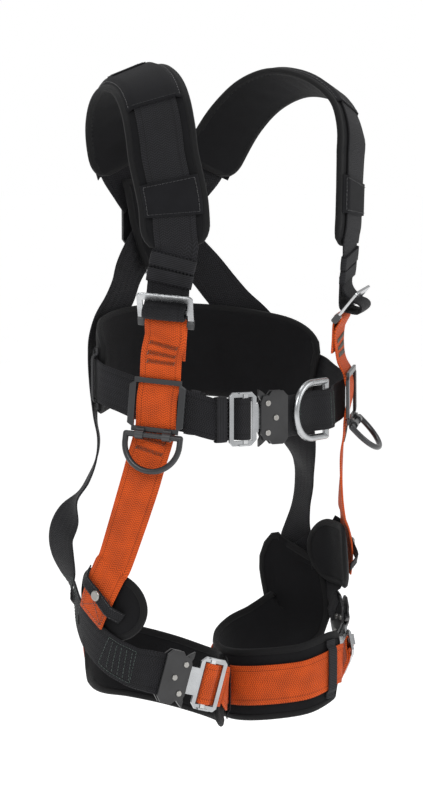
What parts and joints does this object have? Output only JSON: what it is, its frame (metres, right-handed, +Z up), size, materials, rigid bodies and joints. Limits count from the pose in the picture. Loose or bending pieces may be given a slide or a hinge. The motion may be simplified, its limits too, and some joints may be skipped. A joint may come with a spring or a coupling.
{
  "type": "safety harness",
  "caption": "Full-body fall-arrest harness with padded shoulder straps, work-positioning belt and padded leg loops, in its worn shape.",
  "frame": {"origin": "centre of the wearer's waist, at the height of the front of the belt", "axes": "+Z up, -Y the wearer's front, +X the wearer's left"},
  "size_m": [0.348, 0.2645, 0.7358],
  "materials": {
    "black_webbing": "ribbed polyester webbing",
    "orange_webbing": "woven polyester webbing",
    "pad_fabric": "knitted padding cover",
    "elastic": "ribbed elastic",
    "silver_steel": "satin",
    "dark_steel": "dark satin coat",
    "black_alloy": "black anodised",
    "spring_steel": "wire",
    "black_plastic": "moulded"
  },
  "bodies": {
    "harness": {"belt_sleeve": "elastic", "belt_webbing": "black_webbing", "buckle_rivets": "silver_steel", "dorsal_plate": "black_plastic", "hip_pads": "pad_fabric", "hip_tabs": "black_webbing", "left_back_strap": "black_webbing", "left_leg_pad": "pad_fabric", "left_leg_strap": "black_webbing", "left_leg_webbing": "orange_webbing", "left_shoulder_pad": "pad_fabric", "left_shoulder_webbing": "black_webbing", "left_side_strap": "orange_webbing", "leg_keepers": "elastic", "lever_springs": "spring_steel", "lumbar_loops": "elastic", "lumbar_pad": "pad_fabric", "pad_sleeves": "pad_fabric", "pad_tabs": "pad_fabric", "receiver_bases": "black_alloy", "receiver_covers": "black_alloy", "right_back_strap": "black_webbing", "right_leg_pad": "pad_fabric", "right_leg_strap": "black_webbing", "right_leg_webbing": "orange_webbing", "right_shoulder_pad": "pad_fabric", "right_shoulder_webbing": "black_webbing", "right_side_strap": "orange_webbing", "shoulder_keepers": "elastic", "shoulder_loops": "elastic", "side_frames": "dark_steel", "snaps": "silver_steel", "yoke_pad": "pad_fabric"},
    "dorsal_ring": {"dorsal_ring": "dark_steel"},
    "ventral_ring": {"ventral_ring": "silver_steel"},
    "right_side_ring": {"right_side_ring": "dark_steel"},
    "right_adjuster": {"right_adjuster_frame": "silver_steel", "right_adjuster_lower_bar": "dark_steel", "right_adjuster_webbing": "black_webbing"},
    "left_side_ring": {"left_side_ring": "dark_steel"},
    "left_adjuster": {"left_adjuster_frame": "silver_steel", "left_adjuster_lower_bar": "dark_steel", "left_adjuster_webbing": "black_webbing"},
    "belt_tongue": {"belt_tongue": "silver_steel"},
    "belt_slider": {"belt_slider_bar": "silver_steel", "belt_strap_end": "black_webbing", "belt_keeper": "elastic"},
    "belt_lever_upper": {"belt_lever_upper": "black_alloy"},
    "belt_lever_lower": {"belt_lever_lower": "black_alloy"},
    "right_leg_tongue": {"right_leg_tongue": "silver_steel"},
    "right_leg_slider": {"right_leg_slider_bar": "silver_steel", "right_leg_strap_end": "orange_webbing"},
    "right_leg_lever_upper": {"right_leg_lever_upper": "black_alloy"},
    "right_leg_lever_lower": {"right_leg_lever_lower": "black_alloy"},
    "left_leg_tongue": {"left_leg_tongue": "silver_steel"},
    "left_leg_slider": {"left_leg_slider_bar": "silver_steel", "left_leg_strap_end": "orange_webbing"},
    "left_leg_lever_upper": {"left_leg_lever_upper": "black_alloy"},
    "left_leg_lever_lower": {"left_leg_lever_lower": "black_alloy"}
  },
  "joints": [
    {"name": "dorsal_ring_swing", "type": "hinge", "parent": "harness", "child": "dorsal_ring", "pos_m": [0, 0.14469, 0.203], "axis": [1, 0, 0], "range_deg": [0, 165]},
    {"name": "ventral_ring_swing", "type": "hinge", "parent": "harness", "child": "ventral_ring", "pos_m": [0.08377, -0.08657, -0.00103], "axis": [0, 0, 1], "range_deg": [0, 120]},
    {"name": "right_side_ring_swing", "type": "hinge", "parent": "harness", "child": "right_side_ring", "pos_m": [-0.12423, -0.06347, -0.02089], "axis": [-0.6933, 0.7159, 0.0821], "range_deg": [-2, 130]},
    {"name": "right_adjuster_tilt", "type": "hinge", "parent": "harness", "child": "right_adjuster", "pos_m": [-0.11386, -0.07409, 0.1], "axis": [0.7556, -0.6498, -0.0829], "range_deg": [0, 12]},
    {"name": "left_side_ring_swing", "type": "hinge", "parent": "harness", "child": "left_side_ring", "pos_m": [0.13449, -0.073, -0.02087], "axis": [-0.6928, -0.7153, -0.0914], "range_deg": [-36, 95]},
    {"name": "left_adjuster_tilt", "type": "hinge", "parent": "harness", "child": "left_adjuster", "pos_m": [0.11386, -0.07409, 0.1], "axis": [0.7556, 0.6498, 0.0829], "range_deg": [0, 12]},
    {"name": "belt_tongue_release", "type": "slide", "parent": "harness", "child": "belt_tongue", "axis": [-0.9972, 0.0743, 0], "range_m": [0, 0.018]},
    {"name": "belt_slider_clamp", "type": "slide", "parent": "belt_tongue", "child": "belt_slider", "axis": [-0.9972, 0.0743, 0], "range_m": [0, 0.002]},
    {"name": "belt_lever_upper_press", "type": "hinge", "parent": "harness", "child": "belt_lever_upper", "pos_m": [-0.00663, -0.10307, 0.01148], "axis": [-0.0743, -0.9972, 0], "range_deg": [0, 6], "stiffness_Nm_per_rad": 0.2},
    {"name": "belt_lever_lower_press", "type": "hinge", "parent": "harness", "child": "belt_lever_lower", "pos_m": [-0.00663, -0.10307, -0.02052], "axis": [0.0743, 0.9972, 0], "range_deg": [0, 6], "stiffness_Nm_per_rad": 0.2},
    {"name": "right_leg_tongue_release", "type": "slide", "parent": "harness", "child": "right_leg_tongue", "axis": [0.955, -0.0501, -0.2924], "range_m": [0, 0.018]},
    {"name": "right_leg_slider_clamp", "type": "slide", "parent": "right_leg_tongue", "child": "right_leg_slider", "axis": [0.955, -0.0501, -0.2924], "range_m": [0, 0.002]},
    {"name": "right_leg_lever_upper_press", "type": "hinge", "parent": "harness", "child": "right_leg_lever_upper", "pos_m": [-0.1021, -0.07441, -0.30021], "axis": [-0.0523, -0.9986, 0], "range_deg": [0, 6], "stiffness_Nm_per_rad": 0.2},
    {"name": "right_leg_lever_lower_press", "type": "hinge", "parent": "harness", "child": "right_leg_lever_lower", "pos_m": [-0.09275, -0.0749, -0.26961], "axis": [0.0523, 0.9986, 0], "range_deg": [0, 6], "stiffness_Nm_per_rad": 0.2},
    {"name": "left_leg_tongue_release", "type": "slide", "parent": "harness", "child": "left_leg_tongue", "axis": [-0.2304, -0.6001, -0.766], "range_m": [0, 0.018]},
    {"name": "left_leg_slider_clamp", "type": "slide", "parent": "left_leg_tongue", "child": "left_leg_slider", "axis": [-0.2304, -0.6001, -0.766], "range_m": [0, 0.002]},
    {"name": "left_leg_lever_upper_press", "type": "hinge", "parent": "harness", "child": "left_leg_lever_upper", "pos_m": [0.15193, -0.0291, -0.25399], "axis": [0.9336, -0.3584, 0], "range_deg": [0, 6], "stiffness_Nm_per_rad": 0.2},
    {"name": "left_leg_lever_lower_press", "type": "hinge", "parent": "harness", "child": "left_leg_lever_lower", "pos_m": [0.16072, -0.00622, -0.27456], "axis": [-0.9336, 0.3584, 0], "range_deg": [0, 6], "stiffness_Nm_per_rad": 0.2}
  ]
}
